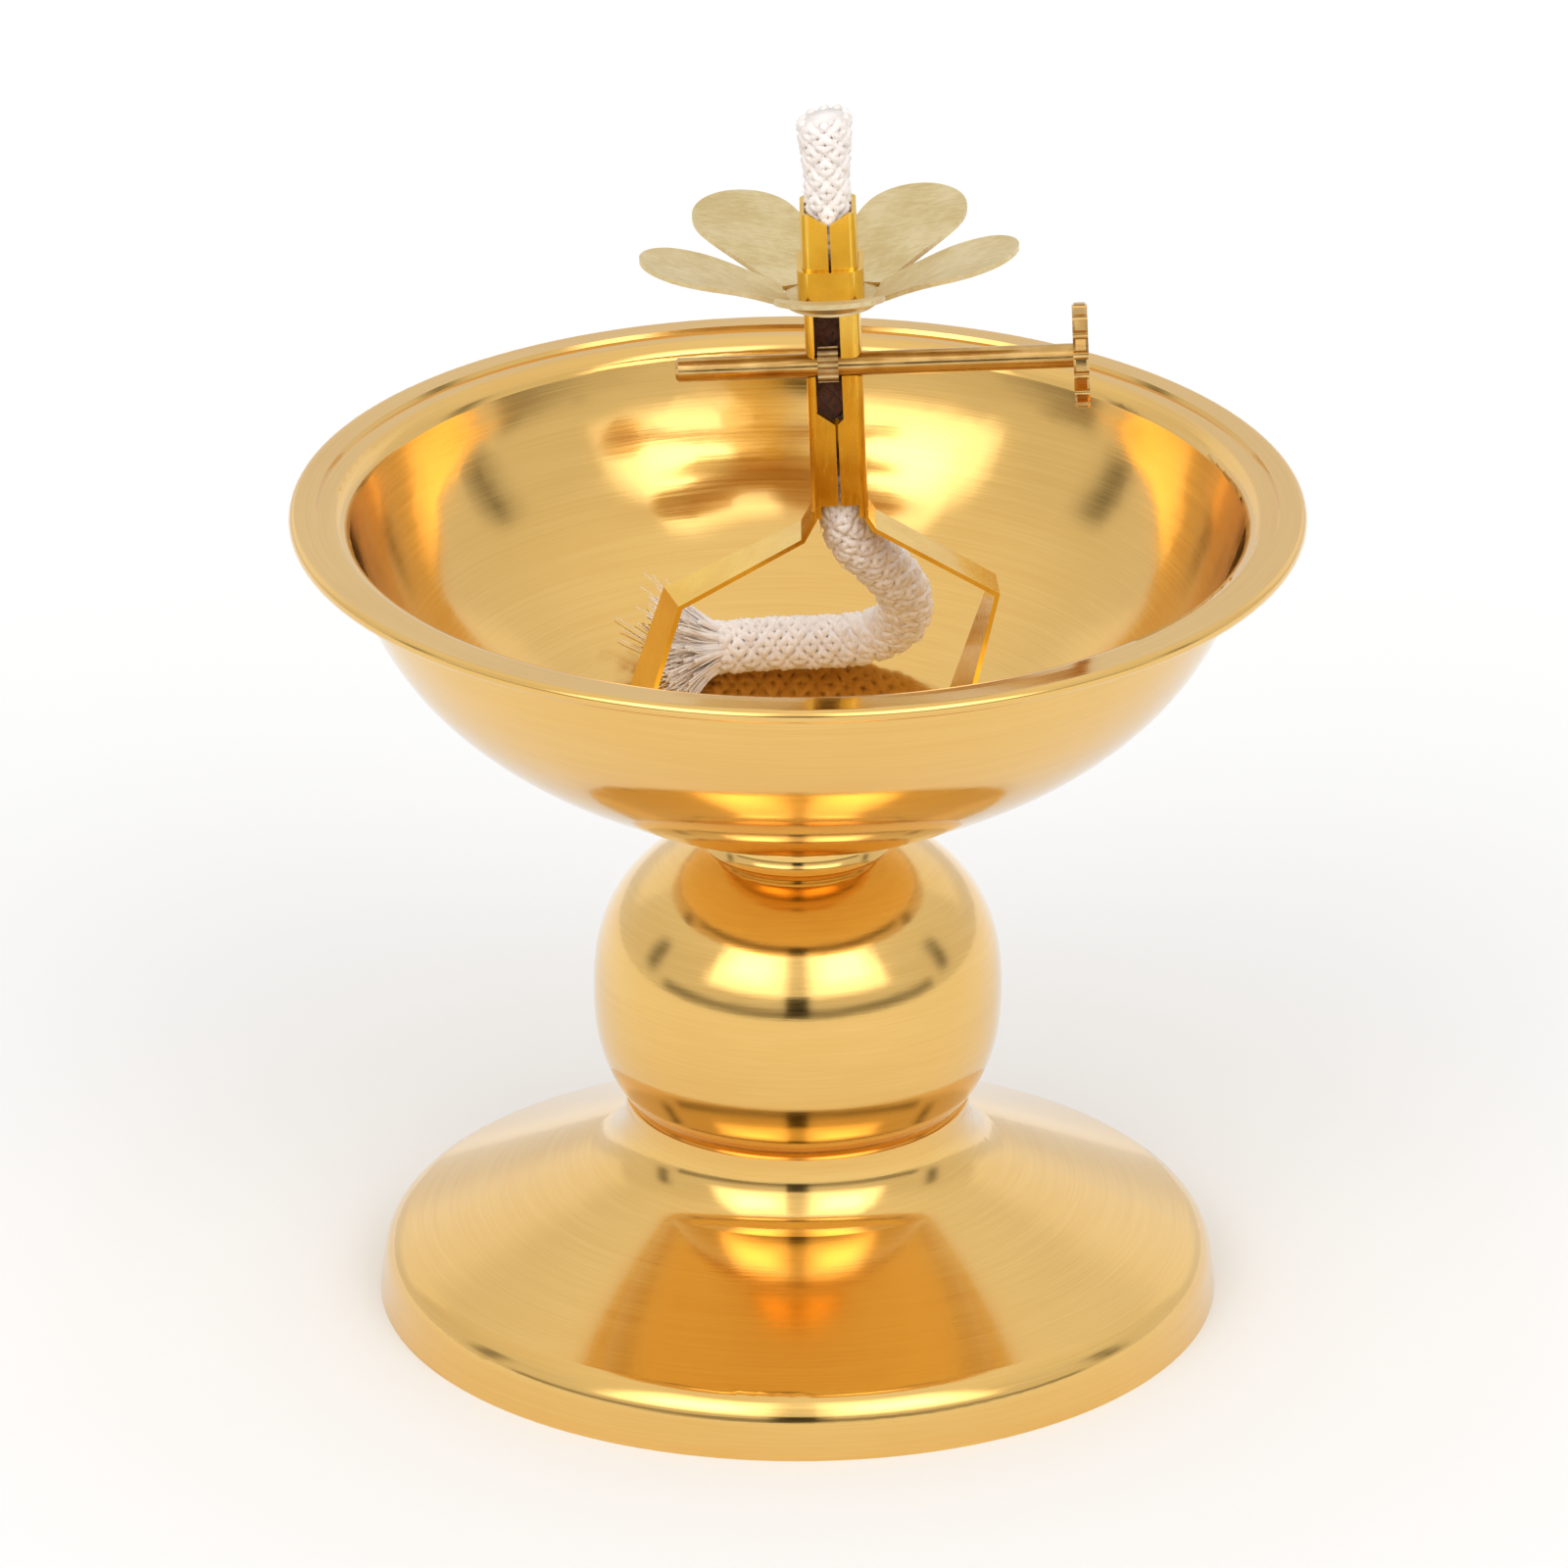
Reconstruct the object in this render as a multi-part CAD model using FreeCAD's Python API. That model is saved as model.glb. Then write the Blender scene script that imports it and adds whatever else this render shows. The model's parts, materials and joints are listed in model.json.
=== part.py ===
"""Pedestal oil lamp in spun brass with a removable wick holder. Millimetres, +Z up.

The origin is the middle of the face that the foot stands on. +X points to the adjuster knob
and -Y to the front of the wick tube.
"""
import FreeCAD, Part
import math
import os

from FreeCAD import Placement, Rotation, Vector

# ---- foot: spun shell with a skirt, a cone and an upright neck with a flat seat ---------------
FOOT_RADIUS = 41.5
FOOT_SKIRT_LEAN = 0.7
FOOT_SHOULDER_HEIGHT = 5.6
FOOT_SHOULDER_FILLET = 3.4
FOOT_NECK_RADIUS = 17.0
FOOT_NECK_CORNER_HEIGHT = 16.1
FOOT_COVE_FILLET = 6.0
FOOT_SEAT_HEIGHT = 21.1
FOOT_WALL = 1.0

# ---- stem: hollow ball, then a collar under the bowl ------------------------------------------
BALL_RADIUS = 20.2
BALL_HALF_HEIGHT = 17.0
BALL_FULLNESS = 2.4
BALL_CENTRE_ABOVE_SEAT = 11.5
BALL_NECK_STEP = 0.45
BALL_WALL = 1.0
BALL_CAP_RADIUS = 9.6
COLLAR_RADIUS = 9.3
COLLAR_WAIST = 0.7
COLLAR_HEIGHT = 3.5
COLLAR_WALL = 1.3

# ---- bowl: spun shell with a flared brim ------------------------------------------------------
BOWL_RADIUS = 44.9
BOWL_DEPTH = 29.7
BOWL_WALL = 1.0
BOWL_FLAT_RADIUS = 9.6
# shape of the wall as shares of the bowl's radius and of its depth
BOWL_CURVE = [(0.401, 0.082), (0.541, 0.19), (0.688, 0.325), (0.809, 0.476), (0.9, 0.645), (0.953, 0.796)]
BOWL_WALL_LEAN = 17.0
BRIM_OVERHANG = 5.1
BRIM_FLARE = 1.0
BRIM_THICKNESS = 1.4
LIP_WIDTH = 2.85
BRIM_GROOVE_DEPTH = 0.4
BRIM_BAND_WIDTH = 1.5

# ---- tie rod stack that pulls the bowl, the ball and the foot together ------------------------
ROD_RADIUS = 2.0
ROD_BELOW_NUT = 2.5
ROD_HOLE_CLEARANCE = 0.25
BOSS_RADIUS = 6.0
BOSS_HEIGHT = 2.4
WASHER_RADIUS = 8.0
WASHER_THICKNESS = 1.2
SPRING_WASHER_RADIUS = 3.6
SPRING_WASHER_THICKNESS = 1.0
SPRING_WASHER_SPLIT = 0.8
NUT_ACROSS_FLATS = 7.0
NUT_HEIGHT = 3.2

# ---- wick holder: folded strip with a square tube on two legs ---------------------------------
SHEET = 0.45
TUBE_WIDTH = 5.5
TUBE_DEPTH = 5.5
TUBE_CORNER = 0.9
TUBE_HEIGHT = 32.3
TUBE_MOUTH_NOTCH = 1.3
TUBE_X = 4.2
TUBE_FOOT_ABOVE_BOWL = 31.8
TUBE_LEAN = 2.3
FLAP_HEIGHT = 1.5
BACK_HEIGHT = 3.2
SEAM_GAP = 0.25
WINDOW_LOW = 10.0
WINDOW_HIGH = 21.6
WINDOW_WIDTH = 2.6
WINDOW_OFFSET = -0.6
WINDOW_POINT = 1.4
LEG_DEPTH = 5.0
# each leg's upper bends as (front x, back x, height above the bowl's underside)
LEFT_BENDS = [(0.5, 0.5, 29.4), (-11.5, -13.0, 22.3)]
RIGHT_BENDS = [(7.5, 7.5, 30.6), (19.6, 19.2, 23.7)]
# each leg's lowest bend as (front x, back x, height above the bowl's floor there)
LEFT_FOOT = (-16.6, -18.6, 0.7)
RIGHT_FOOT = (15.0, 12.6, 1.18)
LEG_FOOT_LENGTH = 3.5

# ---- petal tray and its ferrule on the tube ---------------------------------------------------
TRAY_HEIGHT = 22.3
TRAY_SHEET = 0.5
TRAY_HUB_MARGIN = 0.66
PETAL_LENGTH = 19.2
PETAL_ROOT_WIDTH = 6.6
PETAL_WIDTH = 10.8
PETAL_BOW = 0.6
# each petal as (bearing from the front in degrees, slope in degrees)
PETALS = [(0, 24.0), (72, 23.0), (144, 17.5), (216, 17.5), (288, 23.0)]
FERRULE_WALL = 0.5
FERRULE_HEIGHT = 3.6

# ---- adjuster: shaft, spiked wheel and notched knob -------------------------------------------
SHAFT_RADIUS = 1.2
SHAFT_HEIGHT = 16.2
SHAFT_FORWARD = 1.9
SHAFT_LEFT = 15.5
SHAFT_RIGHT = 24.9
SHAFT_END_CHAMFER = 0.25
SHAFT_CLEARANCE = 0.05
WHEEL_RADIUS = 1.75
WHEEL_WIDTH = 2.0
WHEEL_TEETH = 9
WHEEL_TOOTH_DEPTH = 0.4
KNOB_RADIUS = 5.2
KNOB_THICKNESS = 1.5
KNOB_NOTCHES = 16
KNOB_NOTCH_RADIUS = 0.45
KNOB_CHAMFER = 0.25
SLIP = 0.02

# ---- wick -------------------------------------------------------------------------------------
WICK_RADIUS = 2.5
WICK_CORE_RADIUS = 2.0
WICK_TOP = 41.9
WICK_BOTTOM = 9.0
WICK_TRAVEL = 4.0
WICK_SIDE_GAP = 0.3
TAIL_RADIUS = 2.15
# middle line of the wick's free tail, from inside the tube to its end on the bowl's floor
TAIL_ROUTE = [
    (4.0, 0.0, 88.2),
    (4.1, 0.2, 84.4),
    (4.9, 1.8, 80.4),
    (7.4, 5.0, 76.5),
    (10.2, 9.2, 71.9),
    (10.9, 13.3, 67.6),
    (9.9, 17.0, 63.8),
    (6.5, 19.6, 61.3),
    (1.8, 20.5, 60.6),
    (-3.2, 20.5, 60.5),
    (-8.0, 19.5, 60.4),
]

# ---- values that follow from the sizes above --------------------------------------------------
UP = Vector(0, 0, 1)
FOOT_SHOULDER_RADIUS = FOOT_RADIUS - FOOT_SKIRT_LEAN
CONE_RISE = FOOT_NECK_CORNER_HEIGHT - FOOT_SHOULDER_HEIGHT
FOOT_SLOPE = math.atan2(CONE_RISE, FOOT_SHOULDER_RADIUS - FOOT_NECK_RADIUS)
BALL_NECK_RADIUS = FOOT_NECK_RADIUS - BALL_NECK_STEP
BALL_CENTRE = FOOT_SEAT_HEIGHT + BALL_CENTRE_ABOVE_SEAT
BRIM_RADIUS = BOWL_RADIUS + BRIM_OVERHANG
BRIM_GROOVE_RADIUS = BRIM_RADIUS - LIP_WIDTH
ROD_HOLE_RADIUS = ROD_RADIUS + ROD_HOLE_CLEARANCE
TUBE_BORE_WIDTH = TUBE_WIDTH - 2 * SHEET
TUBE_BORE_DEPTH = TUBE_DEPTH - 2 * SHEET
FERRULE_WIDTH = TUBE_WIDTH + 2 * (SLIP + FERRULE_WALL)
FERRULE_DEPTH = TUBE_DEPTH + 2 * (SLIP + FERRULE_WALL)
FERRULE_CORNER = TUBE_CORNER + SLIP + FERRULE_WALL
FERRULE_DIAGONAL = math.hypot(FERRULE_WIDTH / 2 - FERRULE_CORNER, FERRULE_DEPTH / 2 - FERRULE_CORNER)
TRAY_HUB_RADIUS = FERRULE_DIAGONAL + FERRULE_CORNER + TRAY_HUB_MARGIN


def ball_angle(radius):
    """Angle of the ball's oval at which its wall stands at a radius."""
    return math.acos((radius / BALL_RADIUS) ** (BALL_FULLNESS / 2))


def ball_point(angle):
    """Point of the ball's oval, which is fuller than an ellipse."""
    power = 2 / BALL_FULLNESS
    reach = BALL_RADIUS * math.cos(angle) ** power
    rise = BALL_HALF_HEIGHT * abs(math.sin(angle)) ** power
    return point(reach, BALL_CENTRE + math.copysign(rise, angle))


def point(radius, height):
    """Point of a turned profile."""
    return Vector(radius, 0, height)


def line(start, end):
    """Straight edge."""
    return Part.LineSegment(start, end).toShape()


def arc(start, middle, end):
    """Round edge through three points."""
    return Part.Arc(start, middle, end).toShape()


def path(points):
    """Straight edges from point to point."""
    return [line(a, b) for a, b in zip(points, points[1:])]


def outline(points):
    """Flat face inside a closed run of straight edges."""
    return Part.Face(Part.Wire(path(points + points[:1])))


def spline(points, first_along, last_along):
    """Smooth curve through points with set directions at its ends."""
    curve = Part.BSplineCurve()
    curve.interpolate(Points=points, InitialTangent=first_along, FinalTangent=last_along)
    return curve


def inside_spline(curve, wall, count=11):
    """The curve moved to its left by the wall's thickness."""
    first, last = curve.FirstParameter, curve.LastParameter
    moved = []
    for step in range(count):
        here = first + (last - first) * step / (count - 1)
        along = curve.tangent(here)[0]
        moved.append(curve.value(here) + Vector(-along.z, 0, along.x) * wall)
    return spline(moved, curve.tangent(first)[0], curve.tangent(last)[0])


def corner_arc(before, corner, after, radius):
    """Start, middle and end of the arc that rounds a corner."""
    back = (before - corner).normalize()
    ahead = (after - corner).normalize()
    half_inside = back.getAngle(ahead) / 2
    reach = radius / math.tan(half_inside)
    middle = (back + ahead).normalize() * (radius / math.sin(half_inside) - radius)
    return corner + back * reach, corner + middle, corner + ahead * reach


def turned(edges):
    """Solid of revolution about Z from the edges of a closed profile."""
    wire = Part.Wire(Part.__sortEdges__(edges))
    return Part.Face(wire).revolve(Vector(0, 0, 0), UP, 360)


def rod(radius, low, high):
    """Upright cylinder on the Z axis."""
    return Part.makeCylinder(radius, high - low, Vector(0, 0, low))


def ring(inner, outer, low, high):
    """Upright washer on the Z axis."""
    return rod(outer, low, high).cut(rod(inner, low - 1, high + 1))


def rounded_column(width, depth, corner, low, high):
    """Upright box with rounded corners, centred on the Z axis."""
    box = Part.makeBox(width, depth, high - low, Vector(-width / 2, -depth / 2, low))
    upright = [e for e in box.Edges if abs(e.tangentAt(e.FirstParameter).z) > 0.5]
    return box.makeFillet(corner, upright)


# ---- foot and stem ----------------------------------------------------------------------------
def foot_profile(inset):
    """Points and arcs of the foot's side, moved inwards by an inset."""
    half_tan = math.tan((math.pi / 2 - FOOT_SLOPE) / 2)
    rim = point(FOOT_RADIUS - inset, 0)
    shoulder = point(FOOT_SHOULDER_RADIUS - inset, FOOT_SHOULDER_HEIGHT - inset * half_tan)
    neck_corner = point(FOOT_NECK_RADIUS - inset, FOOT_NECK_CORNER_HEIGHT - inset * half_tan)
    seat = point(FOOT_NECK_RADIUS - inset, FOOT_SEAT_HEIGHT - inset)
    shoulder_arc = corner_arc(rim, shoulder, neck_corner, FOOT_SHOULDER_FILLET - inset)
    cove_arc = corner_arc(shoulder, neck_corner, seat, FOOT_COVE_FILLET + inset)
    return rim, shoulder_arc, cove_arc, seat


def side_edges(side):
    """Edges of one side of the foot, from the floor up to the seat."""
    rim, shoulder_arc, cove_arc, seat = side
    return [line(rim, shoulder_arc[0]), arc(*shoulder_arc), line(shoulder_arc[2], cove_arc[0]),
            arc(*cove_arc), line(cove_arc[2], seat)]


def foot_shell():
    """Spun shell, hollow below, with a flat seat for the ball and a hole for the tie rod."""
    outside, inside = foot_profile(0), foot_profile(FOOT_WALL)
    hole_top = point(ROD_HOLE_RADIUS, FOOT_SEAT_HEIGHT)
    hole_bottom = point(ROD_HOLE_RADIUS, FOOT_SEAT_HEIGHT - FOOT_WALL)
    closing = [line(outside[0], inside[0])] + path([outside[3], hole_top, hole_bottom, inside[3]])
    return turned(side_edges(outside) + side_edges(inside) + closing)


def stem_ball():
    """Hollow ball that stands on the foot's seat, open at the bottom and capped at the top."""
    neck_angle, cap_angle = -ball_angle(BALL_NECK_RADIUS), ball_angle(BALL_CAP_RADIUS)
    steps = 12
    points = [ball_point(neck_angle + (cap_angle - neck_angle) * k / steps) for k in range(steps + 1)]
    curve = Part.BSplineCurve()
    curve.interpolate(points)
    lining = inside_spline(curve, BALL_WALL)
    neck, cap = points[0], points[-1]
    inner_neck = lining.value(lining.FirstParameter)
    inner_foot, outer_foot = point(inner_neck.x, FOOT_SEAT_HEIGHT), point(neck.x, FOOT_SEAT_HEIGHT)
    hole_top, hole_bottom = point(ROD_HOLE_RADIUS, cap.z), point(ROD_HOLE_RADIUS, cap.z - BALL_WALL)
    edges = [line(outer_foot, neck), curve.toShape()]
    edges += path([cap, hole_top, hole_bottom, lining.value(lining.LastParameter)])
    edges += [lining.toShape()] + path([inner_neck, inner_foot, outer_foot])
    return turned(edges)


BALL_TOP = ball_point(ball_angle(BALL_CAP_RADIUS)).z
BOWL_BOTTOM = BALL_TOP + COLLAR_HEIGHT
BOWL_WALL_TOP = BOWL_BOTTOM + BOWL_DEPTH
WALL_LEAN = math.radians(BOWL_WALL_LEAN)
BRIM_UNDERSIDE = BOWL_WALL_TOP + BRIM_FLARE * (1 - math.sin(WALL_LEAN))
BRIM_TOP = BRIM_UNDERSIDE + BRIM_THICKNESS


def neck_collar():
    """Waisted tube between the ball and the bowl."""
    low, high = point(COLLAR_RADIUS, BALL_TOP), point(COLLAR_RADIUS, BOWL_BOTTOM)
    waist = point(COLLAR_RADIUS - COLLAR_WAIST, (BALL_TOP + BOWL_BOTTOM) / 2)
    bore = COLLAR_RADIUS - COLLAR_WAIST - COLLAR_WALL
    return turned([arc(low, waist, high)] + path([high, point(bore, high.z), point(bore, low.z), low]))


def bowl_curves():
    """Outer and inner curve of the bowl's wall, from its flat bottom up to its brim."""
    flat = point(BOWL_FLAT_RADIUS, BOWL_BOTTOM)
    wall_top = point(BOWL_RADIUS, BOWL_WALL_TOP)
    shape = [point(BOWL_RADIUS * across, BOWL_BOTTOM + BOWL_DEPTH * up) for across, up in BOWL_CURVE]
    last_along = point(math.sin(WALL_LEAN), math.cos(WALL_LEAN))
    wall = spline([flat] + shape + [wall_top], shape[0] - flat, last_along)
    return wall, inside_spline(wall, BOWL_WALL)


def bowl_floor(radius):
    """Height of the bowl's inner surface at a radius outside its flat bottom."""
    upright = line(point(radius, BOWL_BOTTOM), point(radius, BRIM_TOP))
    crossing = bowl_curves()[1].toShape().distToShape(upright)[1][0][0]
    return crossing.z


def bowl():
    """Spun oil bowl with a flat bottom and a flared brim that has a groove inside its lip."""
    wall, lining = bowl_curves()
    flare_middle = point(BOWL_RADIUS + BRIM_FLARE * math.cos(WALL_LEAN), BRIM_UNDERSIDE - BRIM_FLARE)

    def flare_point(radius, angle):
        return flare_middle + Vector(-math.cos(angle), 0, math.sin(angle)) * radius

    def flare_arc(radius, turned_to):
        middle = flare_point(radius, (WALL_LEAN + turned_to) / 2)
        return arc(flare_point(radius, WALL_LEAN), middle, flare_point(radius, turned_to))

    under = flare_point(BRIM_FLARE, math.pi / 2)
    lip_radius = BRIM_THICKNESS / 2
    lip_middle = point(BRIM_RADIUS - lip_radius, BRIM_UNDERSIDE + lip_radius)
    lip_under, lip_top = lip_middle - UP * lip_radius, lip_middle + UP * lip_radius
    lip_edge = lip_middle + point(lip_radius, 0)
    crown = point(BRIM_GROOVE_RADIUS + 0.5 * BRIM_GROOVE_DEPTH, BRIM_TOP)
    groove = point(BRIM_GROOVE_RADIUS, BRIM_TOP - BRIM_GROOVE_DEPTH)
    inner_flare = BRIM_FLARE + BOWL_WALL
    band_angle = math.acos((flare_middle.x - BRIM_GROOVE_RADIUS + BRIM_BAND_WIDTH) / inner_flare)
    band = flare_point(inner_flare, band_angle)
    edges = [line(point(0, BOWL_BOTTOM), wall.value(wall.FirstParameter)), wall.toShape()]
    edges += [flare_arc(BRIM_FLARE, math.pi / 2), line(under, lip_under)]
    edges += [arc(lip_under, lip_edge, lip_top)] + path([lip_top, crown, groove, band])
    edges += [flare_arc(inner_flare, band_angle), lining.toShape()]
    lining_low = lining.value(lining.FirstParameter)
    edges += path([lining_low, point(0, BOWL_BOTTOM + BOWL_WALL), point(0, BOWL_BOTTOM)])
    return turned(edges)


# ---- tie rod stack ----------------------------------------------------------------------------
WASHER_TOP = FOOT_SEAT_HEIGHT - FOOT_WALL
SPRING_TOP = WASHER_TOP - WASHER_THICKNESS
NUT_TOP = SPRING_TOP - SPRING_WASHER_THICKNESS


def bowl_boss():
    """Threaded boss brazed under the bowl, inside the collar."""
    return ring(ROD_RADIUS + SLIP, BOSS_RADIUS, BOWL_BOTTOM - BOSS_HEIGHT, BOWL_BOTTOM)


def tie_rod():
    """Rod from the boss down through the ball, the foot's seat and the nut."""
    return rod(ROD_RADIUS, NUT_TOP - NUT_HEIGHT - ROD_BELOW_NUT, BOWL_BOTTOM)


def clamp_washer():
    """Wide washer under the foot's seat."""
    return ring(ROD_HOLE_RADIUS, WASHER_RADIUS, SPRING_TOP, WASHER_TOP)


def spring_washer():
    """Split washer between the wide washer and the nut."""
    whole = ring(ROD_HOLE_RADIUS, SPRING_WASHER_RADIUS, NUT_TOP, SPRING_TOP)
    half_split = SPRING_WASHER_SPLIT / 2
    slot = Part.makeBox(WASHER_RADIUS, SPRING_WASHER_SPLIT, 2 * SPRING_WASHER_THICKNESS,
                        Vector(0, -half_split, NUT_TOP - SPRING_WASHER_THICKNESS / 2))
    return whole.cut(slot)


def hex_nut():
    """Nut that draws the stack together."""
    corner = NUT_ACROSS_FLATS / math.sqrt(3)
    turns = [math.radians(60 * k) for k in range(6)]
    low = NUT_TOP - NUT_HEIGHT
    hexagon = outline([Vector(corner * math.cos(a), corner * math.sin(a), low) for a in turns])
    return hexagon.extrude(UP * NUT_HEIGHT).cut(rod(ROD_RADIUS + SLIP, 0, NUT_TOP + 1))


# ---- wick holder, built upright about its tube's axis and then set in its place ----------------
HOLDER_PLACE = Placement(Vector(TUBE_X, 0, BOWL_BOTTOM + TUBE_FOOT_ABOVE_BOWL),
                         Rotation(Vector(0, 1, 0), -TUBE_LEAN))


def placed(shape):
    """The shape moved from the tube's axis to where the holder stands."""
    moved = shape.copy()
    moved.Placement = HOLDER_PLACE.multiply(moved.Placement)
    return moved


def across_rod(radius, left, right):
    """Cylinder along X on the adjuster's axis."""
    start = Vector(left, -SHAFT_FORWARD, SHAFT_HEIGHT)
    return Part.makeCylinder(radius, right - left, start, Vector(1, 0, 0))


def leg(side, bends, foot):
    """Strap bent out of the tube's side wall, through its bends, to a foot over the bowl's floor."""
    wall_x = side * (TUBE_WIDTH - SHEET) / 2
    half_depth = LEG_DEPTH / 2
    fronts, backs = [], []
    for height in (2 * SHEET, 0):
        fronts.append(HOLDER_PLACE.multVec(Vector(wall_x, -half_depth, height)))
        backs.append(HOLDER_PLACE.multVec(Vector(wall_x, half_depth, height)))
    foot_height = bowl_floor(math.hypot(max(abs(foot[0]), abs(foot[1])), half_depth)) + foot[2]
    for front_x, back_x, height in bends + [(foot[0], foot[1], foot_height - BOWL_BOTTOM)]:
        fronts.append(Vector(front_x, -half_depth, BOWL_BOTTOM + height))
        backs.append(Vector(back_x, half_depth, BOWL_BOTTOM + height))
    inwards = Vector(-side * LEG_FOOT_LENGTH, 0, 0)
    fronts.append(fronts[-1] + inwards)
    backs.append(backs[-1] + inwards)
    middles = [(a + b) / 2 for a, b in zip(fronts, backs)]
    runs = [(b - a).normalize() for a, b in zip(middles, middles[1:])]
    normals = [run.cross(Vector(0, 1, 0)).normalize() for run in runs]
    sections = []
    for k, (front, back) in enumerate(zip(fronts, backs)):
        before, after = normals[max(k - 1, 0)], normals[min(k, len(normals) - 1)]
        mitre = (before + after).normalize()
        half = mitre * (SHEET / 2 / mitre.dot(before))
        corners = [front - half, front + half, back + half, back - half]
        sections.append(Part.Wire(path(corners + corners[:1])))
    return Part.makeLoft(sections, True, True)


def wall_cut(side, points):
    """Prism that cuts a shape of (x, height) points out of the tube's front (-1) or back (1) wall."""
    bore_face = side * TUBE_BORE_DEPTH / 2
    face = outline([Vector(x, bore_face, height) for x, height in points])
    return face.extrude(Vector(0, side * (1 + SHEET), 0))


def wick_holder_frame():
    """Folded strip: a seamed tube with a window and bearing holes, on two bent legs."""
    outer = rounded_column(TUBE_WIDTH, TUBE_DEPTH, TUBE_CORNER, 0, TUBE_HEIGHT)
    bore = rounded_column(TUBE_BORE_WIDTH, TUBE_BORE_DEPTH, TUBE_CORNER - SHEET, -1, TUBE_HEIGHT + 1)
    left, right = WINDOW_OFFSET - WINDOW_WIDTH / 2, WINDOW_OFFSET + WINDOW_WIDTH / 2
    window = [(left, WINDOW_HIGH), (left, WINDOW_LOW + WINDOW_POINT), (0, WINDOW_LOW),
              (right, WINDOW_LOW + WINDOW_POINT / 2), (right, WINDOW_HIGH)]
    half_seam, half_front = SEAM_GAP / 2, TUBE_WIDTH / 2 - TUBE_CORNER
    seam = [(-half_seam, -1), (half_seam, -1), (half_seam, TUBE_HEIGHT + 1), (-half_seam, TUBE_HEIGHT + 1)]
    mouth = [(-half_front, TUBE_HEIGHT), (0, TUBE_HEIGHT - TUBE_MOUTH_NOTCH), (half_front, TUBE_HEIGHT),
             (half_front, TUBE_HEIGHT + 1), (-half_front, TUBE_HEIGHT + 1)]
    half_bore = TUBE_BORE_WIDTH / 2
    below_flaps = [(-half_bore, -1), (half_bore, -1), (half_bore, FLAP_HEIGHT), (-half_bore, FLAP_HEIGHT)]
    below_back = [(-half_bore, -1), (half_bore, -1), (half_bore, BACK_HEIGHT), (-half_bore, BACK_HEIGHT)]
    bearings = across_rod(SHAFT_RADIUS + SHAFT_CLEARANCE, -TUBE_WIDTH, TUBE_WIDTH)
    cuts = [wall_cut(-1, shape) for shape in (window, seam, mouth, below_flaps)] + [wall_cut(1, below_back)]
    tube = outer.cut([bore, bearings] + cuts)
    legs = [leg(-1, LEFT_BENDS, LEFT_FOOT), leg(1, RIGHT_BENDS, RIGHT_FOOT)]
    whole = placed(tube).fuse(legs)
    return whole.removeSplitter()


# ---- petal tray and ferrule -------------------------------------------------------------------
def tube_passage(low, high):
    """Column that lets the tube slip through a piece."""
    return rounded_column(TUBE_WIDTH + 2 * SLIP, TUBE_DEPTH + 2 * SLIP, TUBE_CORNER + SLIP, low, high)


def petal_blank(bearing):
    """Upright prism with a petal's outline: straight root, widening sides and a round tip."""
    half_root, half_width = PETAL_ROOT_WIDTH / 2, PETAL_WIDTH / 2
    root, shoulder = TRAY_HUB_RADIUS - TRAY_SHEET, PETAL_LENGTH - half_width
    waist = ((root + shoulder) / 2, half_root + 0.62 * (half_width - half_root))
    edges, ends = [], []
    for side in (-1, 1):
        shape = [(root, half_root), waist, (shoulder, half_width)]
        points = [Vector(side * across, -along, 0) for along, across in shape]
        curve = Part.BSplineCurve()
        curve.interpolate(Points=points, InitialTangent=points[1] - points[0], FinalTangent=Vector(0, -1, 0))
        edges.append(curve.toShape())
        ends.append(points)
    edges.append(line(ends[0][0], ends[1][0]))
    edges.append(arc(ends[0][-1], Vector(0, -PETAL_LENGTH, 0), ends[1][-1]))
    face = Part.Face(Part.Wire(Part.__sortEdges__(edges)))
    prism = face.extrude(UP * PETAL_LENGTH)
    prism.rotate(Vector(0, 0, 0), UP, bearing)
    return prism


def petal_dish(slope):
    """Spun dish that a petal follows: it rises from the hub and flattens towards the tip."""
    root, tip = TRAY_HUB_RADIUS - TRAY_SHEET, PETAL_LENGTH + 1
    rise = math.tan(math.radians(slope)) * (tip - root)
    low = [point(root, 0), point((root + tip) / 2, rise * PETAL_BOW), point(tip, rise)]
    under = Part.BSplineCurve()
    under.interpolate(Points=low, InitialTangent=low[1] - low[0], FinalTangent=low[2] - low[1])
    over = inside_spline(under, TRAY_SHEET)
    under_ends = [under.value(under.FirstParameter), under.value(under.LastParameter)]
    over_ends = [over.value(over.FirstParameter), over.value(over.LastParameter)]
    closing = [line(a, b) for a, b in zip(under_ends, over_ends)]
    return turned([under.toShape(), over.toShape()] + closing)


def petal_tray():
    """Five petals round a hub with a hole for the tube."""
    hub = rod(TRAY_HUB_RADIUS, 0, TRAY_SHEET)
    petals = [petal_dish(slope).common(petal_blank(bearing)) for bearing, slope in PETALS]
    tray = hub.fuse(petals).cut(tube_passage(-5, 5))
    tray.translate(UP * TRAY_HEIGHT)
    return placed(tray)


def tray_ferrule():
    """Square sleeve on the tube, standing on the tray's hub."""
    low = TRAY_HEIGHT + TRAY_SHEET
    high = low + FERRULE_HEIGHT
    outer = rounded_column(FERRULE_WIDTH, FERRULE_DEPTH, FERRULE_CORNER, low, high)
    return placed(outer.cut(tube_passage(low - 1, high + 1)))


# ---- adjuster ---------------------------------------------------------------------------------
def round_notches(radius, count, notch_radius, left, right):
    """Cylinders along X, spaced round the adjuster's axis."""
    notches = []
    for k in range(count):
        turn = 2 * math.pi * k / count
        forward, height = radius * math.cos(turn) - SHAFT_FORWARD, radius * math.sin(turn) + SHAFT_HEIGHT
        centre = Vector(left, forward, height)
        notches.append(Part.makeCylinder(notch_radius, right - left, centre, Vector(1, 0, 0)))
    return notches


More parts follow.
